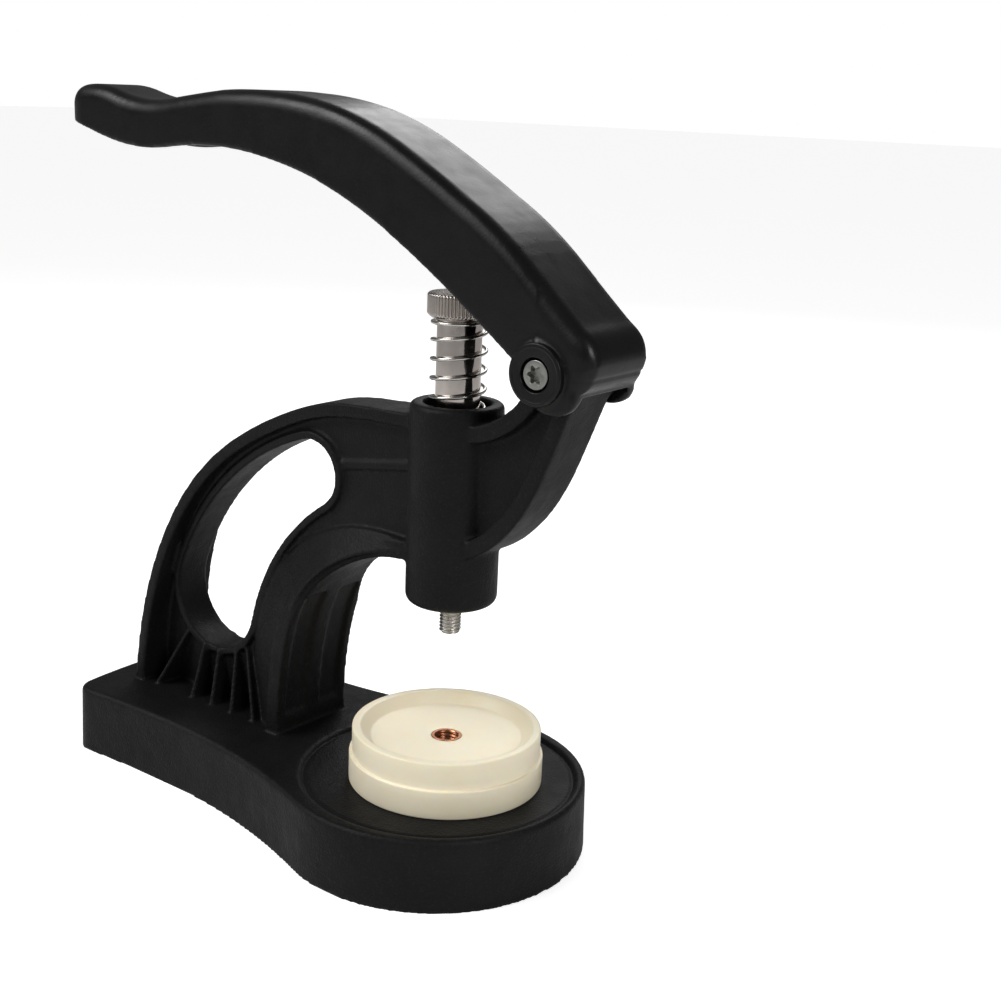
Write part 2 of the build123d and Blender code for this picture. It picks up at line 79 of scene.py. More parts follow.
# ---- base ----
LOBE_X = -4.6
LOBE_RADIUS = 44.0                  # at the underside
LOBE_END = -18.0                    # the wall is round in front of this x
BASE_DRAFT = math.radians(1.5)
BASE_TOP = 20.6
RECESS_X = -2.5                     # middle of the round recess
GROOVE_RADIUS = 38.3
GROOVE_HALF = 0.9                   # half its width
GROOVE_DEPTH = 0.55

# ---- softening of the mouldings ----
VOXEL = 0.5
FRAME_ROUNDS = 3                    # rounds of averaging for the whole frame
ARM_ROUNDS = 8                      # and more above the base
ARM_BOTTOM = BASE_TOP + 3
HANDLE_ROUNDS = 10
NOSE_ROUNDS = 60                    # more for the handle's front end,
NOSE_X = 34.0                       # in front of this x
NOSE_Z = 146.0                      # and above this height
SHOULDER_RADIUS = 4.5               # of the handle's long upper edges
SHOULDER_DEPTH = 13.0               # how far down the walls follow them

# ---- studs ----
STUD_RADIUS = 3.0
STUD_CHAMFER = 0.6
STUD_STEP = 0.08                    # between the rings of a stud's mesh
THREAD_PITCH = 1.0
THREAD_DEPTH = 0.5
INNER_THREAD_DEPTH = 0.4
UPPER_STUD = (63.4, 87.0)
UPPER_THREAD_END = 72.9
BASE_STUD_HEAD = (5.2, 9.2)
BASE_STUD_TOP = 28.9
BASE_THREAD_START = 18.9
HEX_RADIUS = 5.77
HEX_TRIM = 0.12                     # rounds the corners of the hexagon

# ---- plunger and spring ----
SHAFT_RADIUS = 6.0
SHAFT_TIP_RADIUS = 5.0
SHAFT_BOTTOM = 73.0
SHAFT_SHOULDER = 100.06
KNOB_BOTTOM = 150.4
KNOB_TOP = 156.8
KNOB_RADIUS = 8.7
KNOB_CHAMFER = 1.0                  # at the knob's lower edge
KNOB_EDGE = 0.5                     # at its upper edge
KNURLS = 56
KNURL_DEPTH = 0.5
WIRE_RADIUS = 0.5
COIL_RADIUS = 7.2
COIL_PITCH = 5.1
SEAT_TOP = 117.0
END_TURNS = 0.8                     # closely wound turns at each end,
END_RISE = 0.9                      # which climb this much
COIL_PHASE = 217.8                  # degrees, where a coil passes COIL_LEVEL
COIL_LEVEL = 139.3

# ---- handle and pivot ----
HANDLE_HALF = 13.5                  # half the width, up to the taper
HANDLE_TAPER_X = -15.0
HANDLE_TIP_HALF = 11.25
HANDLE_TIP_X = -140.2
TUCK_TOP = 147.5                    # the front wall curls in below this height
TUCK_REACH = 8.0                    # over this much height
TUCK = 0.04                         # how fast, per millimetre squared
TUCK_X = 42.0                       # and only in front of this x
LOBE_BOTTOM = 132.2                 # lowest point of the handle's round cheeks
SEAM_X = 46.0                       # the mould seam shows in front of this x
SEAM_Z = 141.9
SEAM_HALF = 0.6                     # half its width
SEAM_DEPTH = 0.35
PIVOT_X = 35.8
PIVOT_Z = 142.0
DISC_RADIUS = 7.8
DISC_HOLE = 4.3
DISC_FLOOR = 13.05
DISC_FACE = 15.4
DISC_BEAD = (1.2, 0.9, 0.12)        # raised rim: start and crest from the edge, height
SCREW_TIP = 5.0
SCREW_RADIUS = 2.0
SCREW_SEAT = 13.0
SCREW_HEAD = 3.65
SCREW_FACE = 15.0
STAR_RADIUS = 2.0
STAR_WAVE = 0.22
STAR_FLOOR = 13.2

# ---- die ----
DIE_BOTTOM = 19.9
DIE_CEILING = 23.3                  # of the hollow under the die
DIE_STEP = 28.1
DIE_TOP = 35.7
CUP_DEPTH = 3.2
DIE_HOLLOW_RADIUS = 23.0
DIE_FOOT_RADIUS = 25.0              # inner edge of the foot ring
DIE_FLANGE_RADIUS = 27.3
DIE_WALL_RADIUS = 26.5
CUP_TOP_RADIUS = 24.2
CUP_FLOOR_RADIUS = 21.4
INSERT_RADIUS = 4.2
INSERT_CHAMFER = 0.4
HOLE_RADIUS = 3.05


# ------------------------------------------------------------------ meshes
def new_mesh(name, points, faces, smooth=True):
    """A mesh object from points in millimetres, counted from the foot of the plunger axis."""
    mesh = bpy.data.meshes.new(name)
    mesh.from_pydata([Vector(p) * MM + AXIS for p in points], [], faces)
    mesh.validate()
    work = bmesh.new()
    work.from_mesh(mesh)
    bmesh.ops.recalc_face_normals(work, faces=work.faces)
    work.to_mesh(mesh)
    work.free()
    mesh.polygons.foreach_set("use_smooth", [smooth] * len(mesh.polygons))
    piece = bpy.data.objects.new(name, mesh)
    bpy.context.scene.collection.objects.link(piece)
    return piece


def grid_faces(rows, columns):
    """Quads of a grid whose columns close on themselves."""
    faces = []
    for row in range(rows - 1):
        for column in range(columns):
            beside = (column + 1) % columns
            faces.append((row * columns + column, row * columns + beside,
                          (row + 1) * columns + beside, (row + 1) * columns + column))
    return faces


def turned(name, profile, segments=96, shape=None):
    """A piece turned on the plunger axis from (radius, height) points. A profile that starts and ends on the
    axis makes a solid, any other closes on itself and leaves a hole. shape changes a radius by angle."""
    on_axis = profile[0][0] < 1e-6
    rings = profile[1:-1] if on_axis else profile
    points = []
    for radius, height in rings:
        for segment in range(segments):
            angle = 2 * math.pi * segment / segments
            r = shape(radius, height, angle) if shape else radius
            points.append((r * math.cos(angle), r * math.sin(angle), height))
    faces = grid_faces(len(rings), segments)
    if on_axis:
        for end, first in ((profile[0], 0), (profile[-1], (len(rings) - 1) * segments)):
            points.append((0, 0, end[1]))
            for segment in range(segments):
                faces.append((len(points) - 1, first + segment, first + (segment + 1) % segments))
    else:
        last = (len(rings) - 1) * segments
        for segment in range(segments):
            beside = (segment + 1) % segments
            faces.append((last + segment, last + beside, beside, segment))
    return new_mesh(name, points, faces)


def rounded(corners, radius, closed=True, steps=4):
    """Corner points with each corner replaced by an arc."""
    points = []
    count = len(corners)
    for index, corner in enumerate(corners):
        if not closed and index in (0, count - 1):
            points.append(corner)
            continue
        here = Vector(corner)
        back = Vector(corners[index - 1]) - here
        ahead = Vector(corners[(index + 1) % count]) - here
        reach = min(radius, back.length * 0.45, ahead.length * 0.45)
        start = here + back.normalized() * reach
        end = here + ahead.normalized() * reach
        for step in range(steps + 1):
            t = step / steps
            point = start * (1 - t) ** 2 + here * 2 * t * (1 - t) + end * t * t
            points.append((point.x, point.y))
    return points


def stretch(points, gap):
    """The same outline with long runs split, so that no step is longer than gap."""
    result = []
    for start, end in zip(points, points[1:]):
        count = max(1, math.ceil(math.dist(start, end) / gap))
        for step in range(count):
            t = step / count
            result.append((start[0] + (end[0] - start[0]) * t, start[1] + (end[1] - start[1]) * t))
    result.append(points[-1])
    return result


def ease(t):
    """Smooth step from 0 to 1."""
    t = min(1.0, max(0.0, t))
    return t * t * (3 - 2 * t)


def thread_wave(height, angle):
    """How deep a right-handed thread is at a place, from 0 on its crest to 1 in its groove."""
    turn = (height / THREAD_PITCH - angle / (2 * math.pi)) % 1.0
    return ease((abs(2 * turn - 1) - 0.1) / 0.75)


def thread(low, high):
    """The thread of a stud between two heights, fading out towards both."""
    def shape(radius, height, angle):
        fade = ease((height - low) / 0.6) * ease((high - height) / 0.6)
        outer = ease((radius - STUD_RADIUS + 0.7) / 0.3)
        return radius - THREAD_DEPTH * thread_wave(height, angle) * fade * outer
    return shape


def copy_of(node, name):
    """A free copy of a CAD node's mesh."""
    piece = bpy.data.objects.new(name, nodes[node].data.copy())
    bpy.context.scene.collection.objects.link(piece)
    work = bmesh.new()
    work.from_mesh(piece.data)
    bmesh.ops.remove_doubles(work, verts=work.verts, dist=1e-6)
    work.to_mesh(piece.data)
    work.free()
    piece.data.materials.clear()
    return piece


def apply_modifiers(piece):
    """Replaces the piece's mesh with what its modifiers make of it."""
    graph = bpy.context.evaluated_depsgraph_get()
    mesh = bpy.data.meshes.new_from_object(piece.evaluated_get(graph))
    piece.modifiers.clear()
    piece.data = mesh
    return piece


def coordinates(piece):
    """The piece's vertices as rows of x, y, z in millimetres from the foot of the plunger axis."""
    flat = np.zeros(len(piece.data.vertices) * 3, np.float32)
    piece.data.vertices.foreach_get("co", flat)
    return (flat.reshape(-1, 3).astype(float) - AXIS) / MM


def store(piece, co):
    """Gives the piece's vertices new places, counted in the same way."""
    piece.data.vertices.foreach_set("co", (co * MM + AXIS).astype(np.float32).ravel())
    piece.data.update()
    return piece


def soften(piece, rounds, chosen=None):
    """Averages the surface, all of it or only the vertices that chosen picks from their x, y, z."""
    smooth = piece.modifiers.new("smooth", "SMOOTH")
    smooth.factor = 0.5
    smooth.iterations = rounds
    if chosen is not None:
        group = piece.vertex_groups.new(name="chosen")
        group.add([int(i) for i in np.nonzero(chosen(*coordinates(piece).T))[0]], 1.0, "REPLACE")
        smooth.vertex_group = "chosen"
    apply_modifiers(piece)
    piece.vertex_groups.clear()
    return piece


def moulded(node, name, rounds):
    """A copy of a CAD node with every edge softened, as a moulding has them."""
    piece = copy_of(node, name)
    remesh = piece.modifiers.new("remesh", "REMESH")
    remesh.mode = "VOXEL"
    remesh.voxel_size = VOXEL * MM
    apply_modifiers(piece)
    soften(piece, rounds)
    piece.data.polygons.foreach_set("use_smooth", [True] * len(piece.data.polygons))
    return piece


def round_over(piece, radius, depth):
    """Rounds a handle's long upper edges: the top drops away towards the sides, and the walls follow it."""
    co = coordinates(piece)
    column = np.round(co[:, 0] * 2).astype(int)
    column -= column.min()
    crest = np.full(column.max() + 1, -1e9)
    np.maximum.at(crest, column, co[:, 2])
    crest = np.convolve(np.pad(crest, 2, "edge"), np.ones(5) / 5, "valid")[column]
    along = (co[:, 0] - HANDLE_TAPER_X) / (HANDLE_TIP_X - HANDLE_TAPER_X)
    half = HANDLE_HALF + (HANDLE_TIP_HALF - HANDLE_HALF) * np.clip(along, 0, 1)
    past_tip = np.hypot(np.minimum(co[:, 0] - HANDLE_TIP_X, 0), co[:, 1])
    inside = np.clip(half - past_tip, 0, radius)
    drop = radius - np.sqrt(radius ** 2 - (radius - inside) ** 2)
    share = np.clip(1 - (crest - co[:, 2]) / depth, 0, 1)
    co[:, 2] -= drop * share
    return store(piece, co)


def tucked(piece):
    """Lets the handle's front wall curl in towards its lower edge, and presses the mould seam above it."""
    co = coordinates(piece)
    below = np.clip(TUCK_TOP - co[:, 2], 0, TUCK_REACH)
    front = np.clip((co[:, 0] - TUCK_X) / 8, 0, 1) * np.clip((co[:, 2] - LOBE_BOTTOM) / 6, 0, 1)
    seam = np.clip(1 - np.abs(co[:, 2] - SEAM_Z) / SEAM_HALF, 0, 1) * np.clip((co[:, 0] - SEAM_X) / 3, 0, 1)
    co[:, 0] -= TUCK * below ** 2 * front + SEAM_DEPTH * seam
    return store(piece, co)


def trued(piece):
    """Brings the round wall of the base out to its true radius, which takes the facets out of it."""
    co = coordinates(piece)
    out = co[:, :2] - (LOBE_X, 0)
    radius = np.maximum(np.hypot(*out.T), 1e-6)
    angle = np.degrees(np.arctan2(out[:, 1], out[:, 0]))
    reach = radius + co[:, 2] * math.tan(BASE_DRAFT)
    wall = (co[:, 0] > LOBE_END) & (np.abs(co[:, 2] - BASE_TOP / 2) < 6) & (reach > LOBE_RADIUS - 1)
    degree = np.round(angle[wall]).astype(int)
    degrees = np.unique(degree)
    found = [reach[wall][degree == d].mean() for d in degrees]
    gap = LOBE_RADIUS - np.interp(angle, degrees, found)
    share = np.clip(reach - LOBE_RADIUS + 3, 0, 1) * np.clip((co[:, 0] - LOBE_END) / 3, 0, 1)
    co[:, :2] += out / radius[:, None] * (gap * share * (co[:, 2] < BASE_TOP + 1))[:, None]
    return store(piece, co)


def grooved(piece):
    """Presses a fine groove round the foot of the recess wall."""
    co = coordinates(piece)
    away = np.abs(np.hypot(co[:, 0] - RECESS_X, co[:, 1]) - GROOVE_RADIUS)
    share = np.clip(1 - away / GROOVE_HALF, 0, 1)
    top = np.abs(co[:, 2] - BASE_TOP) < 1.5
    co[:, 2] -= GROOVE_DEPTH * share * share * (3 - 2 * share) * top
    return store(piece, co)


# ------------------------------------------------------------------ materials
class Finish:
    """Builds a node material step by step on one principled shader."""

    def __init__(self, name, colour, rough, metallic=0.0, specular=0.5):
        self.material = bpy.data.materials.new(name)
        self.material.use_nodes = True
        self.tree = self.material.node_tree
        self.shader = self.tree.nodes["Principled BSDF"]
        self.shader.inputs["Metallic"].default_value = metallic
        self.shader.inputs["Specular IOR Level"].default_value = specular
        self.place = self.tree.nodes.new("ShaderNodeTexCoord").outputs["Object"]
        self.colour = self.value_node("ShaderNodeRGB")
        self.colour.default_value = (*colour, 1)
        self.rough = self.tree.nodes.new("ShaderNodeValue").outputs[0]
        self.rough.default_value = rough
        self.normal = None

    def value_node(self, kind):
        return self.tree.nodes.new(kind).outputs[0]

    def noise(self, scale, detail=4.0, stretch_by=(1, 1, 1)):
        """Noise with features about 1/scale metres across."""
        mapping = self.tree.nodes.new("ShaderNodeMapping")
        mapping.inputs["Scale"].default_value = stretch_by
        self.tree.links.new(self.place, mapping.inputs["Vector"])
        texture = self.tree.nodes.new("ShaderNodeTexNoise")
        texture.inputs["Scale"].default_value = scale
        texture.inputs["Detail"].default_value = detail
        self.tree.links.new(mapping.outputs[0], texture.inputs["Vector"])
        return texture.outputs["Fac"]

    def remap(self, source, low, high, to_low=0.0, to_high=1.0):
        spread = self.tree.nodes.new("ShaderNodeMapRange")
        spread.inputs["From Min"].default_value = low
        spread.inputs["From Max"].default_value = high
        spread.inputs["To Min"].default_value = to_low
        spread.inputs["To Max"].default_value = to_high
        self.tree.links.new(source, spread.inputs["Value"])
        return spread.outputs["Result"]

    def tint(self, source, colour):
        """Mixes a colour in where source is high."""
        mix = self.tree.nodes.new("ShaderNodeMix")
        mix.data_type = "RGBA"
        self.tree.links.new(source, mix.inputs[0])
        self.tree.links.new(self.colour, mix.inputs[6])
        mix.inputs[7].default_value = (*colour, 1)
        self.colour = mix.outputs[2]
        return self

    def roughen(self, source, amount):
        """Adds amount times source to the roughness."""
        scaled = self.tree.nodes.new("ShaderNodeMath")
        scaled.operation = "MULTIPLY_ADD"
        self.tree.links.new(source, scaled.inputs[0])
        scaled.inputs[1].default_value = amount
        self.tree.links.new(self.rough, scaled.inputs[2])
        self.rough = scaled.outputs[0]
        return self

    def bump(self, source, depth, strength=1.0):
        """Raises the surface by source times depth, in millimetres."""
        node = self.tree.nodes.new("ShaderNodeBump")
        node.inputs["Strength"].default_value = strength
        node.inputs["Distance"].default_value = depth * MM
        self.tree.links.new(source, node.inputs["Height"])
        if self.normal is not None:
            self.tree.links.new(self.normal, node.inputs["Normal"])
        self.normal = node.outputs["Normal"]
        return self

    def edges(self):
        """High on edges that stand out, where wear shows."""
        geometry = self.tree.nodes.new("ShaderNodeNewGeometry")
        return self.remap(geometry.outputs["Pointiness"], 0.53, 0.62)

    def rings(self, scale):
        """Turning marks round the plunger axis."""
        mapping = self.tree.nodes.new("ShaderNodeMapping")
        mapping.inputs["Location"].default_value = -AXIS
        self.tree.links.new(self.place, mapping.inputs["Vector"])
        wave = self.tree.nodes.new("ShaderNodeTexWave")
        wave.wave_type = "RINGS"
        wave.rings_direction = "Z"
        wave.inputs["Scale"].default_value = scale
        wave.inputs["Distortion"].default_value = 0.6
        wave.inputs["Detail"].default_value = 2.0
        self.tree.links.new(mapping.outputs[0], wave.inputs["Vector"])
        return wave.outputs["Fac"]

    def done(self):
        links = self.tree.links
        links.new(self.colour, self.shader.inputs["Base Color"])
        links.new(self.rough, self.shader.inputs["Roughness"])
        if self.normal is not None:
            links.new(self.normal, self.shader.inputs["Normal"])
        return self.material


def black_plastic(name, colour, rough, specular, grain, depth, crest_highlight):
    """Moulded nylon: grain of 1/grain metres and some depth in millimetres, with painted highlights that many
    times paler on the crests of the grain, faint flow marks and paler rubbed edges."""
    finish = Finish(name, colour, rough, specular=specular)
    finish.tint(finish.remap(finish.noise(60), 0.35, 0.75), tuple(c * 1.45 for c in colour))
    # painted highlights: the crests of the grain, from the same noise as its bump, made paler
    finish.tint(finish.remap(finish.noise(grain, 2.0), 0.55, 0.75), tuple(c * crest_highlight for c in colour))
    finish.tint(finish.remap(finish.edges(), 0, 1, 0, 0.35), tuple(c * 3 + 0.01 for c in colour))
    finish.roughen(finish.remap(finish.noise(140), 0.3, 0.7, -1, 1), 0.05)
    finish.bump(finish.noise(grain, 2.0), depth)
    finish.bump(finish.noise(grain / 9, 2.0), depth * 1.5)
    return finish.done()


def bare_metal(name, colour, rough, mark=0.02, turned_marks=0.0):
    """Metal with fine scratches, patchy sheen, darker patches at random and paler edges."""
    finish = Finish(name, colour, rough, metallic=1.0)
    finish.tint(finish.remap(finish.noise(240), 0.4, 0.75, 0, 0.6), tuple(c * 0.72 for c in colour))
    finish.tint(finish.remap(finish.edges(), 0, 1, 0, 0.5), tuple(min(1, c * 1.2) for c in colour))
    finish.roughen(finish.remap(finish.noise(420), 0.3, 0.7, -1, 1), 0.07)
    finish.bump(finish.noise(900, 3.0, (1, 1, 0.08)), mark)
    if turned_marks:
        finish.bump(finish.rings(1500), turned_marks)
    return finish.done()


frame_finish = black_plastic("frame_nylon", (0.0055, 0.0055, 0.0057), rough=0.48, specular=0.125,
                             grain=1700, depth=0.17, crest_highlight=2.2)
handle_finish = black_plastic("handle_nylon", (0.003, 0.003, 0.0032), rough=0.32, specular=0.24,
                              grain=1700, depth=0.03, crest_highlight=2.0)
polished = bare_metal("polished_steel", (0.66, 0.6, 0.56), 0.1, 0.004)
nickel = bare_metal("nickel_plate", (0.56, 0.51, 0.47), 0.2, 0.01)
zinc = bare_metal("zinc_plate", (0.58, 0.56, 0.53), 0.3, 0.015)
screw_zinc = bare_metal("screw_zinc", (0.32, 0.32, 0.3), 0.36, 0.03)
wire = bare_metal("spring_wire", (0.6, 0.58, 0.55), 0.2, 0.008)
steel = bare_metal("plain_steel", (0.5, 0.5, 0.5), 0.35, 0.015)
bronze = bare_metal("bush_bronze", (0.5, 0.34, 0.16), 0.4, 0.02)
copper = bare_metal("insert_copper", (0.45, 0.19, 0.1), 0.3, 0.01)

die_paint = Finish("die_nylon", (0.99, 0.87, 0.67), 0.34)
die_paint.tint(die_paint.remap(die_paint.noise(90), 0.4, 0.8, 0, 0.5), (0.97, 0.82, 0.58))
die_paint.tint(die_paint.remap(die_paint.edges(), 0, 1, 0, 0.4), (0.93, 0.84, 0.68))
die_paint.roughen(die_paint.remap(die_paint.noise(300), 0.3, 0.7, -1, 1), 0.06)
die_paint.bump(die_paint.rings(900), 0.012)
die_paint.bump(die_paint.noise(1200, 2.0), 0.01)
die_paint.shader.inputs["Subsurface Weight"].default_value = 0.45
die_paint.shader.inputs["Subsurface Radius"].default_value = (0.004, 0.003, 0.0018)
die_finish = die_paint.done()


def place(piece, body, material, slot, *stands_for):
    """Gives a piece its material and its body, and hides the CAD nodes it stands for."""
    piece.data.materials.clear()
    piece.data.materials.append(material)
    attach(piece, body)
    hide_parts(*stands_for)
    return piece


# ------------------------------------------------------------------ mouldings
casting = moulded("frame_body", "frame_moulding", FRAME_ROUNDS)
soften(casting, ARM_ROUNDS, lambda x, y, z: z > ARM_BOTTOM)
place(grooved(trued(casting)), "frame", frame_finish, "frame", "frame_body")
handle = moulded("handle", "handle_moulding", HANDLE_ROUNDS)
soften(handle, NOSE_ROUNDS, lambda x, y, z: (x > NOSE_X) & (z > NOSE_Z))
tucked(round_over(handle, SHOULDER_RADIUS, SHOULDER_DEPTH))
place(handle, "lever", handle_finish, "handle", "handle")


def on_cheek(piece, side):
    """Lays a piece turned on the plunger axis along the pivot, on the left (1) or right (-1) cheek."""
    piece.data.transform(Matrix.Translation(AXIS + Vector((PIVOT_X, 0, PIVOT_Z)) * MM)
                         @ Matrix.Rotation(-side * math.pi / 2, 4, "X") @ Matrix.Translation(-AXIS))
    return piece


def pivot_disc(name, side):
    """The flat ring round a pivot screw, with a fine bead near its rim."""
    start, crest, rise = DISC_BEAD
    outline = [(DISC_HOLE, DISC_FLOOR), (DISC_RADIUS, DISC_FLOOR), (DISC_RADIUS, DISC_FACE),
               (DISC_RADIUS - crest, DISC_FACE + rise), (DISC_RADIUS - start, DISC_FACE),
               (DISC_HOLE, DISC_FACE)]
    return on_cheek(turned(name, rounded(outline, 0.3), 96), side)


for name, side in (("pivot_disc_left", 1), ("pivot_disc_right", -1)):
    piece = pivot_disc(name, side)
    piece.data.materials.append(handle_finish)
    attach(piece, "lever")

# ------------------------------------------------------------------ plunger
shaft_outline = [(0, SHAFT_BOTTOM), (SHAFT_TIP_RADIUS, SHAFT_BOTTOM), (SHAFT_TIP_RADIUS, SHAFT_SHOULDER),
                 (SHAFT_RADIUS, SHAFT_SHOULDER), (SHAFT_RADIUS, KNOB_BOTTOM), (0, KNOB_BOTTOM)]
place(turned("shaft_turned", rounded(shaft_outline, 0.3, False)),
      "plunger", polished, "polished", "plunger_shaft")


def knurl(radius, height, angle):
    """Straight knurl on the rim, faded out towards both faces."""
    wave = abs(2 * ((angle * KNURLS / (2 * math.pi)) % 1.0) - 1)
    outer = ease((radius - KNOB_RADIUS + 0.9) / 0.5)
    fade = ease((KNOB_TOP - 0.25 - height) / 0.3) * ease((height - KNOB_BOTTOM - 0.7) / 0.4)
    return radius - KNURL_DEPTH * ease((wave - 0.2) / 0.7) * outer * fade


knob_outline = [(0, KNOB_BOTTOM), (KNOB_RADIUS - KNOB_CHAMFER, KNOB_BOTTOM),
                (KNOB_RADIUS, KNOB_BOTTOM + KNOB_CHAMFER), (KNOB_RADIUS, KNOB_TOP - KNOB_EDGE),
                (KNOB_RADIUS - KNOB_EDGE, KNOB_TOP), (0, KNOB_TOP)]
knob_profile = stretch(rounded(knob_outline, 0.2, False), 0.35)
place(turned("knob_knurled", knob_profile, KNURLS * 8, knurl), "plunger", nickel, "knob", "plunger_knob")

low, high = UPPER_STUD
stud_outline = [(0, low), (STUD_RADIUS - STUD_CHAMFER, low), (STUD_RADIUS, low + STUD_CHAMFER),
                (STUD_RADIUS, high), (0, high)]
stud_profile = stretch(rounded(stud_outline, 0.15, False), STUD_STEP)
place(turned("upper_stud_threaded", stud_profile, 64, thread(low - 0.4, UPPER_THREAD_END)),
      "plunger", zinc, "zinc", "upper_stud")

# ------------------------------------------------------------------ spring
wire_start = SEAT_TOP + WIRE_RADIUS
wire_rise = KNOB_BOTTOM - SEAT_TOP - 2 * WIRE_RADIUS
all_turns = (wire_rise - 2 * END_RISE) / COIL_PITCH + 2 * END_TURNS
level_turn = END_TURNS + (COIL_LEVEL - wire_start - END_RISE) / COIL_PITCH


def wire_height(turn):
    """Height of the wire above its start after a number of turns."""
    if turn < END_TURNS:
        return turn * END_RISE / END_TURNS
    if turn > all_turns - END_TURNS:
        return wire_rise - (all_turns - turn) * END_RISE / END_TURNS
    return END_RISE + (turn - END_TURNS) * COIL_PITCH


def wire_point(turn):
    """Centre of the wire, with the change of slope at the end turns spread over a stretch."""
    spread = 0.12
    height = (wire_height(turn - spread) + 2 * wire_height(turn) + wire_height(turn + spread)) / 4
    angle = math.radians(COIL_PHASE + 360 * (turn - level_turn))
    return Vector((COIL_RADIUS * math.cos(angle), COIL_RADIUS * math.sin(angle), wire_start + height))


def make_spring(name, steps_per_turn=48, sides=14):
    """The wire as a tube with flat ends."""
    count = math.ceil(all_turns * steps_per_turn)
    points = []
    for step in range(count + 1):
        turn = all_turns * step / count
        centre = wire_point(turn)
        along = (wire_point(turn + 0.001) - wire_point(turn - 0.001)).normalized()
        out = Vector((centre.x, centre.y, 0)).normalized()
        side = along.cross(out).normalized()
        for corner in range(sides):
            angle = 2 * math.pi * corner / sides
            points.append(centre + (out * math.cos(angle) + side * math.sin(angle)) * WIRE_RADIUS)
    faces = grid_faces(count + 1, sides)
    faces.append(tuple(range(sides)))
    faces.append(tuple(range(count * sides, (count + 1) * sides)))
    return new_mesh(name, points, faces)


spring = place(make_spring("spring_coil"), "frame", wire, "spring", "return_spring")
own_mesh(spring)

# ------------------------------------------------------------------ die and base stud
cup_floor = DIE_TOP - CUP_DEPTH
die_outline = [(INSERT_RADIUS, DIE_CEILING), (DIE_HOLLOW_RADIUS, DIE_CEILING), (DIE_FOOT_RADIUS, DIE_BOTTOM),
               (DIE_FLANGE_RADIUS, DIE_BOTTOM), (DIE_FLANGE_RADIUS, DIE_STEP), (DIE_WALL_RADIUS, DIE_STEP),
               (DIE_WALL_RADIUS, DIE_TOP), (CUP_TOP_RADIUS, DIE_TOP), (CUP_FLOOR_RADIUS, cup_floor),
               (INSERT_RADIUS, cup_floor)]
place(turned("die_disc", stretch(rounded(die_outline, 0.55), 2.0), 192), "die", die_finish, "die", "die_body")

insert_outline = [(HOLE_RADIUS, DIE_CEILING), (INSERT_RADIUS, DIE_CEILING), (INSERT_RADIUS, cup_floor),
                  (HOLE_RADIUS + INSERT_CHAMFER, cup_floor), (HOLE_RADIUS, cup_floor - INSERT_CHAMFER),
                  (HOLE_RADIUS, DIE_CEILING)]


def inner_thread(radius, height, angle):
    """The thread inside the insert, cut outwards from its hole."""
    inner = ease((HOLE_RADIUS + 0.25 - radius) / 0.2)
    fade = ease((cup_floor - 0.3 - height) / 0.3) * ease((height - DIE_CEILING - 0.2) / 0.3)
    return radius + INNER_THREAD_DEPTH * thread_wave(height, angle) * inner * fade


place(turned("insert_threaded", stretch(insert_outline, 0.1)[:-1], 64, inner_thread),
      "die", copper, "insert", "die_insert")

low, high = BASE_STUD_HEAD
base_outline = [(0, low), (HEX_RADIUS, low), (HEX_RADIUS, high), (STUD_RADIUS, high),
                (STUD_RADIUS, BASE_STUD_TOP - STUD_CHAMFER), (STUD_RADIUS - STUD_CHAMFER, BASE_STUD_TOP),
                (0, BASE_STUD_TOP)]
cut_thread = thread(BASE_THREAD_START, BASE_STUD_TOP + 0.4)


def bolt_shape(radius, height, angle):
    """Hexagonal head below, thread above."""
    if height < high + 0.01 and radius > STUD_RADIUS + 0.01:
        flat = math.cos(math.pi / 6) / math.cos((angle % (math.pi / 3)) - math.pi / 6)
        return min(radius, radius * flat + HEX_TRIM)
    return cut_thread(radius, height, angle)


place(turned("base_stud_threaded", stretch(rounded(base_outline, 0.15, False), STUD_STEP), 72, bolt_shape),
      "frame", zinc, "zinc", "base_stud")

# ------------------------------------------------------------------ pivot and hidden fittings
screw_outline = [(0, SCREW_TIP), (SCREW_RADIUS, SCREW_TIP), (SCREW_RADIUS, SCREW_SEAT),
                 (SCREW_HEAD, SCREW_SEAT), (SCREW_HEAD, SCREW_FACE), (STAR_RADIUS, SCREW_FACE),
                 (STAR_RADIUS, STAR_FLOOR), (0, STAR_FLOOR)]


def star(radius, height, angle):
    """Six rounded lobes for the driver recess in a screw's face."""
    in_recess = height > STAR_FLOOR - 0.01 and radius < STAR_RADIUS + 0.3
    return radius * (1 + STAR_WAVE * math.cos(6 * angle)) if in_recess else radius


for name, side in (("pivot_screw_left", 1), ("pivot_screw_right", -1)):
    screw = turned(name, rounded(screw_outline, 0.2, False), 96, star)
    place(on_cheek(screw, side), "lever", screw_zinc, "screws", "pivot_screws")

for node, material in (("bolt_washer", zinc), ("guide_bush", bronze), ("spring_seat", steel),
                       ("pivot_axle", steel), ("pivot_washers", steel)):
    nodes[node].data.materials.clear()
    nodes[node].data.materials.append(material)

# ------------------------------------------------------------------ stage
corners = [(x * FLOOR_REACH, y * FLOOR_REACH, 0) for x, y in ((-1, -1), (1, -1), (1, 1), (-1, 1))]
floor = new_mesh("floor", corners, [(0, 1, 2, 3)], False)
paper = Finish("floor_paper", (0.93, 0.93, 0.93), 0.7, 0.0, 0.1)
paper.tint(paper.remap(paper.noise(8), 0.3, 0.8, 0, 0.3), (0.91, 0.91, 0.91))
floor.data.materials.append(paper.done())


def seen_only(tree, strength_seen, strength_else):
    """A strength that differs for what the camera sees and for what lights the object."""
    path = tree.nodes.new("ShaderNodeLightPath")
    spread = tree.nodes.new("ShaderNodeMapRange")
    spread.inputs["To Min"].default_value = strength_else
    spread.inputs["To Max"].default_value = strength_seen
    tree.links.new(path.outputs["Is Camera Ray"], spread.inputs["Value"])
    return spread.outputs["Result"]


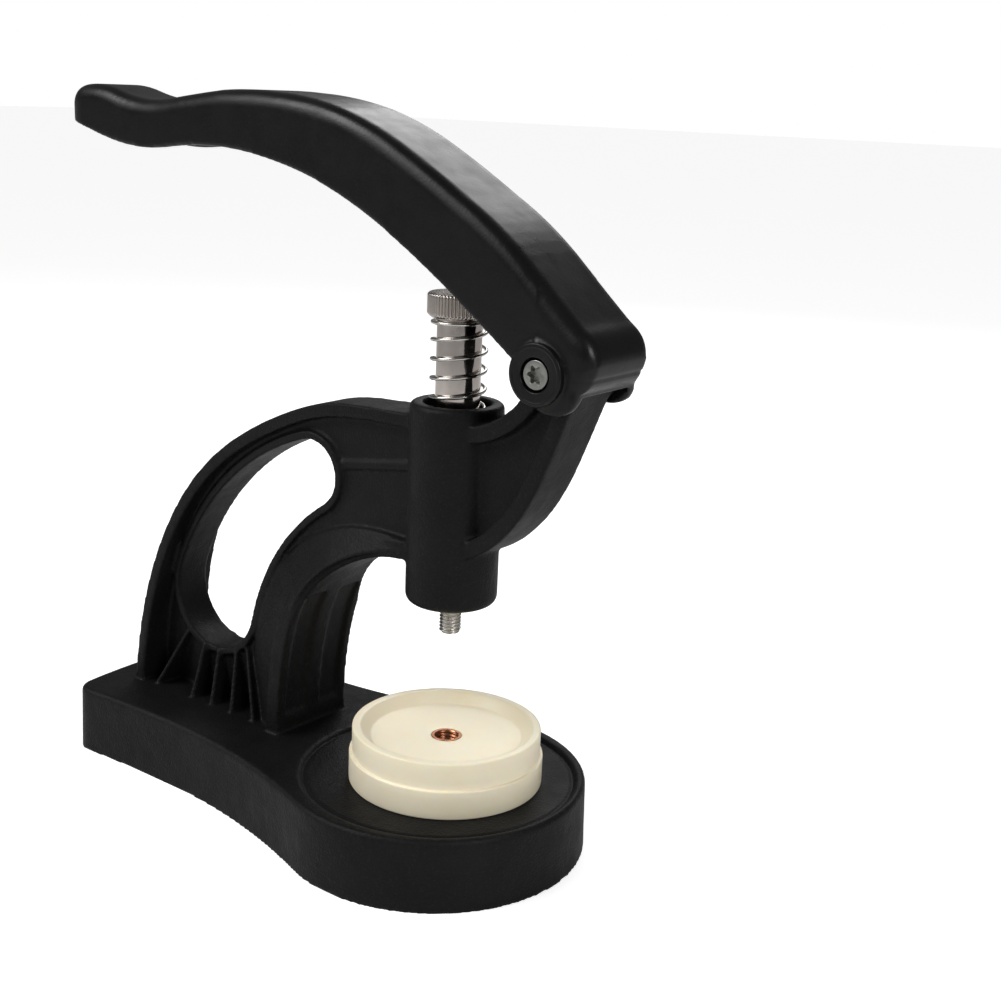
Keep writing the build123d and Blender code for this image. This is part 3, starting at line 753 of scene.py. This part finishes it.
paper.shader.inputs["Emission Color"].default_value = (1, 1, 1, 1)
paper.tree.links.new(seen_only(paper.tree, FLOOR_LIFT, 0.0), paper.shader.inputs["Emission Strength"])

world = bpy.data.worlds.new("studio")
bpy.context.scene.world = world
world.use_nodes = True
sky = world.node_tree.nodes["Background"]
sky.inputs["Color"].default_value = (1, 1, 1, 1)
world.node_tree.links.new(seen_only(world.node_tree, 1.0, WORLD_STRENGTH), sky.inputs["Strength"])


def lamp(name, kind, position, aim, energy):
    """A light aimed at a point, millimetres."""
    light = bpy.data.lights.new(name, kind)
    light.energy = energy
    holder = bpy.data.objects.new(name, light)
    bpy.context.scene.collection.objects.link(holder)
    holder.location = Vector(position) * MM + AXIS
    holder.rotation_mode = "QUATERNION"
    holder.rotation_quaternion = (Vector(aim) - Vector(position)).to_track_quat("-Z", "Y")
    return light


lamp("overhead", "SUN", SUN_PLACE, (0, 0, 0), SUN_STRENGTH).angle = SUN_ANGLE
for name, position, size, power in SOFTBOXES:
    lamp(name, "AREA", position, SOFTBOX_AIM, power).size = size * MM

# ------------------------------------------------------------------ camera
azimuth, elevation, roll = (math.radians(v) for v in (VIEW_AZIMUTH, VIEW_ELEVATION, VIEW_ROLL))
back = Vector((math.sin(azimuth) * math.cos(elevation), -math.cos(azimuth) * math.cos(elevation),
               math.sin(elevation)))
right = Vector((math.cos(azimuth), math.sin(azimuth), 0))
up = back.cross(right)
camera = bpy.data.objects.new("camera", bpy.data.cameras.new("camera"))
bpy.context.scene.collection.objects.link(camera)
axes = (right * math.cos(roll) + up * math.sin(roll), up * math.cos(roll) - right * math.sin(roll), back)
turn = Matrix(axes).transposed().to_4x4()
spot = right * VIEW_ASIDE + Vector((0, 0, VIEW_HEIGHT)) + back * VIEW_DISTANCE
camera.matrix_world = Matrix.Translation(spot * MM + AXIS) @ turn
camera.data.lens = LENS
camera.data.sensor_width = SENSOR_WIDTH
camera.data.shift_x = SHIFT_X
camera.data.shift_y = SHIFT_Y
camera.data.clip_start = 0.01
bpy.context.scene.camera = camera
bpy.context.scene.view_settings.view_transform = "Standard"
